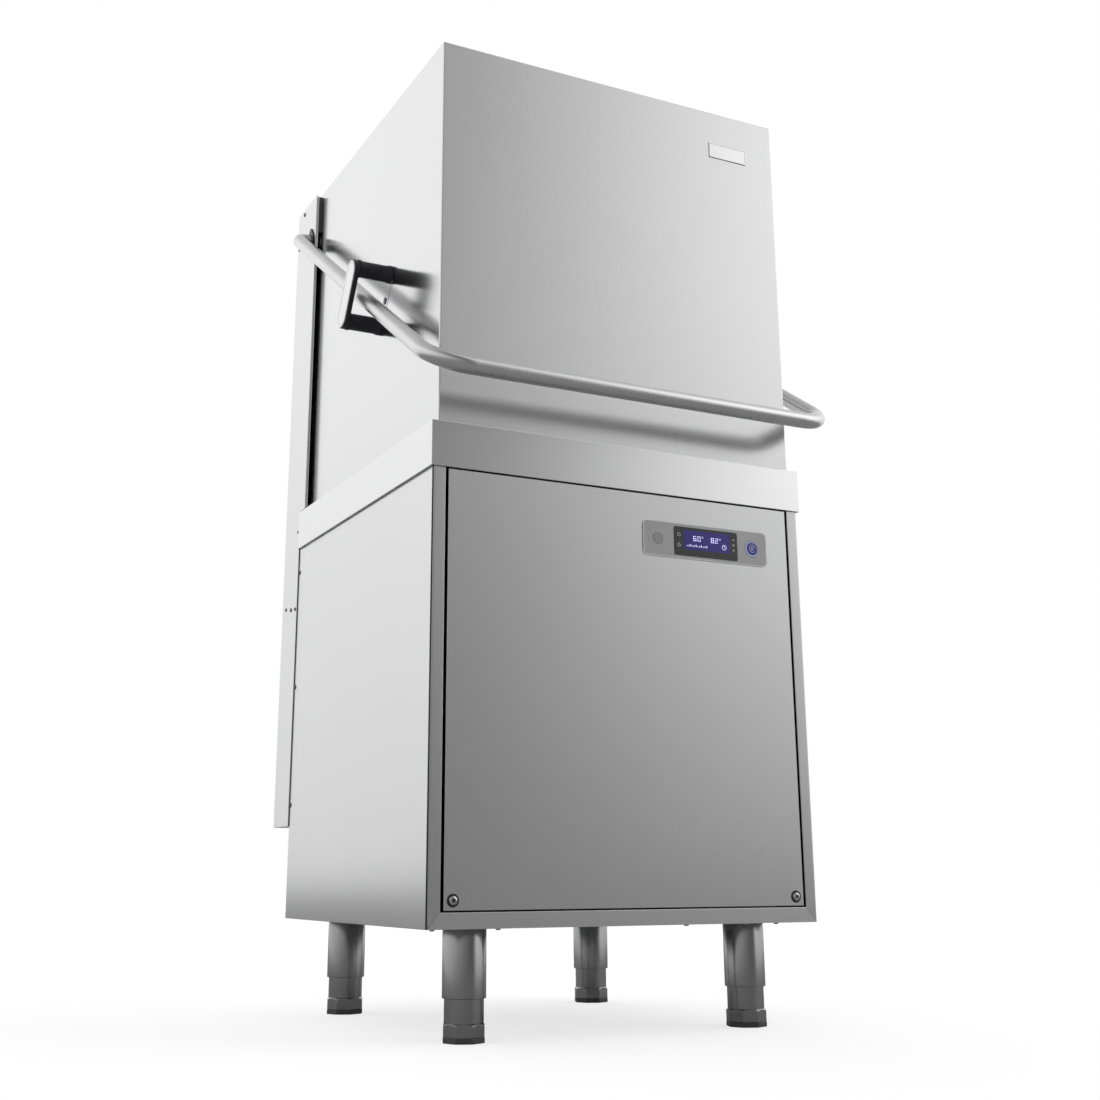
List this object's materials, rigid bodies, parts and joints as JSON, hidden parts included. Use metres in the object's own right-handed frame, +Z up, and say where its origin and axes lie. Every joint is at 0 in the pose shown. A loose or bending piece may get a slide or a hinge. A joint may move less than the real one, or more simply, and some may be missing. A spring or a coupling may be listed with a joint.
{
  "type": "commercial dishwasher",
  "caption": "Hood-type pass-through commercial dishwasher: steel cabinet on legs, lifting hood with a wrap-round handle, rear column, wash chamber and controls.",
  "frame": {"origin": "on the floor under the centre of the cabinet", "axes": "+Z up, -Y is the front with the controls, +X is the right-hand side seen from the front"},
  "size_m": [0.744, 0.7671, 1.454],
  "materials": {
    "brushed_sheet": "brushed, satin",
    "satin_tube": "satin",
    "zinc_sheet": "galvanised, matt",
    "leg_steel": "satin",
    "black_moulding": "satin black",
    "black_hose": "matt",
    "fascia_film": "fine matt film",
    "button_grey": "fine matt film",
    "button_blue": "satin",
    "display_lens": "gloss",
    "white_moulding": "moulded",
    "grey_casting": "painted",
    "heater_sheath": "dull"
  },
  "bodies": {
    "cabinet": {"base_frame": "zinc_sheet", "back_panel": "brushed_sheet", "front_frame": "brushed_sheet", "front_panel": "brushed_sheet", "side_panel_left": "brushed_sheet", "side_panel_right": "brushed_sheet", "tank_rim": "brushed_sheet", "wash_tank": "brushed_sheet", "surface_strainer": "brushed_sheet", "strainer_basket": "satin_tube", "rack_track": "satin_tube", "rear_wall": "brushed_sheet", "lower_spindle": "satin_tube", "riser_pipe": "satin_tube", "control_fascia": "fascia_film", "display_window": "display_lens", "control_box": "zinc_sheet", "wash_pump_housing": "white_moulding", "wash_pump_motor": "grey_casting", "wash_hose": "black_hose", "suction_pipe": "black_hose", "rinse_boiler": "satin_tube", "boiler_heater": "heater_sheath", "tank_heater": "heater_sheath", "drain_pump": "white_moulding", "drain_hose": "black_hose", "inlet_valve": "white_moulding", "dosing_pump": "white_moulding", "column_cover": "brushed_sheet", "hood_rail_left": "zinc_sheet", "hood_rail_right": "zinc_sheet", "handle_bush_left": "black_moulding", "handle_bush_right": "black_moulding", "panel_screw_left": "satin_tube", "panel_screw_right": "satin_tube", "counter_spring_left": "zinc_sheet", "counter_spring_right": "zinc_sheet", "leg_front_left": "leg_steel", "leg_front_right": "leg_steel", "leg_back_left": "leg_steel", "leg_back_right": "leg_steel"},
    "hood": {"hood_shell": "brushed_sheet", "hood_badge": "satin_tube", "hood_carriage": "zinc_sheet"},
    "handle": {"handle_bar": "satin_tube"},
    "guide_left": {"guide_posts_left": "black_moulding", "guide_cap_left": "satin_tube"},
    "guide_right": {"guide_posts_right": "black_moulding", "guide_cap_right": "satin_tube"},
    "power_button": {"power_button": "button_grey"},
    "start_button": {"start_button": "button_blue"},
    "lower_wash_arm": {"lower_wash_arm": "satin_tube"},
    "lower_rinse_arm": {"lower_rinse_arm": "satin_tube"},
    "upper_wash_arm": {"upper_wash_arm": "satin_tube"},
    "upper_rinse_arm": {"upper_rinse_arm": "satin_tube"},
    "pump_impeller": {"pump_impeller": "satin_tube"},
    "foot_front_left": {"foot_front_left": "leg_steel"},
    "foot_front_right": {"foot_front_right": "leg_steel"},
    "foot_back_left": {"foot_back_left": "leg_steel"},
    "foot_back_right": {"foot_back_right": "leg_steel"}
  },
  "joints": [
    {"name": "hood_lift", "type": "slide", "parent": "cabinet", "child": "hood", "axis": [0, 0, 1], "range_m": [0, 0.44]},
    {"name": "handle_turn", "type": "hinge", "parent": "cabinet", "child": "handle", "pos_m": [0, 0.3035, 1.364], "axis": [-1, 0, 0], "range_deg": [0, 59.12], "deforming": ["counter_spring_left", "counter_spring_right"]},
    {"name": "guide_swivel_left", "type": "hinge", "parent": "hood", "child": "guide_left", "pos_m": [-0.3, -0.0715, 1.1085], "axis": [-1, 0, 0], "range_deg": [0, 59.12]},
    {"name": "guide_swivel_right", "type": "hinge", "parent": "hood", "child": "guide_right", "pos_m": [0.3, -0.0715, 1.1085], "axis": [-1, 0, 0], "range_deg": [0, 59.12]},
    {"name": "power_press", "type": "slide", "parent": "cabinet", "child": "power_button", "axis": [0, 1, 0], "range_m": [0, 0.0015]},
    {"name": "start_press", "type": "slide", "parent": "cabinet", "child": "start_button", "axis": [0, 1, 0], "range_m": [0, 0.0015]},
    {"name": "lower_wash_spin", "type": "hinge", "parent": "cabinet", "child": "lower_wash_arm", "pos_m": [0, -0.005, 0.8], "axis": [0, 0, 1], "continuous": true},
    {"name": "lower_rinse_spin", "type": "hinge", "parent": "cabinet", "child": "lower_rinse_arm", "pos_m": [0, -0.005, 0.8], "axis": [0, 0, 1], "continuous": true},
    {"name": "upper_wash_spin", "type": "hinge", "parent": "cabinet", "child": "upper_wash_arm", "pos_m": [0, -0.005, 1.3], "axis": [0, 0, 1], "continuous": true},
    {"name": "upper_rinse_spin", "type": "hinge", "parent": "cabinet", "child": "upper_rinse_arm", "pos_m": [0, -0.005, 1.3], "axis": [0, 0, 1], "continuous": true},
    {"name": "pump_spin", "type": "hinge", "parent": "cabinet", "child": "pump_impeller", "pos_m": [0.02, 0.15, 0.25], "axis": [1, 0, 0], "continuous": true},
    {"name": "foot_front_left_adjust", "type": "slide", "parent": "cabinet", "child": "foot_front_left", "axis": [0, 0, -1], "range_m": [0, 0.04]},
    {"name": "foot_front_right_adjust", "type": "slide", "parent": "cabinet", "child": "foot_front_right", "axis": [0, 0, -1], "range_m": [0, 0.04]},
    {"name": "foot_back_left_adjust", "type": "slide", "parent": "cabinet", "child": "foot_back_left", "axis": [0, 0, -1], "range_m": [0, 0.04]},
    {"name": "foot_back_right_adjust", "type": "slide", "parent": "cabinet", "child": "foot_back_right", "axis": [0, 0, -1], "range_m": [0, 0.04]}
  ],
  "couplings": [
    {"joint": "handle_turn", "follows": "hood_lift", "rad_per_m": 2.345},
    {"joint": "guide_swivel_left", "follows": "hood_lift", "rad_per_m": 2.345},
    {"joint": "guide_swivel_right", "follows": "hood_lift", "rad_per_m": 2.345}
  ]
}
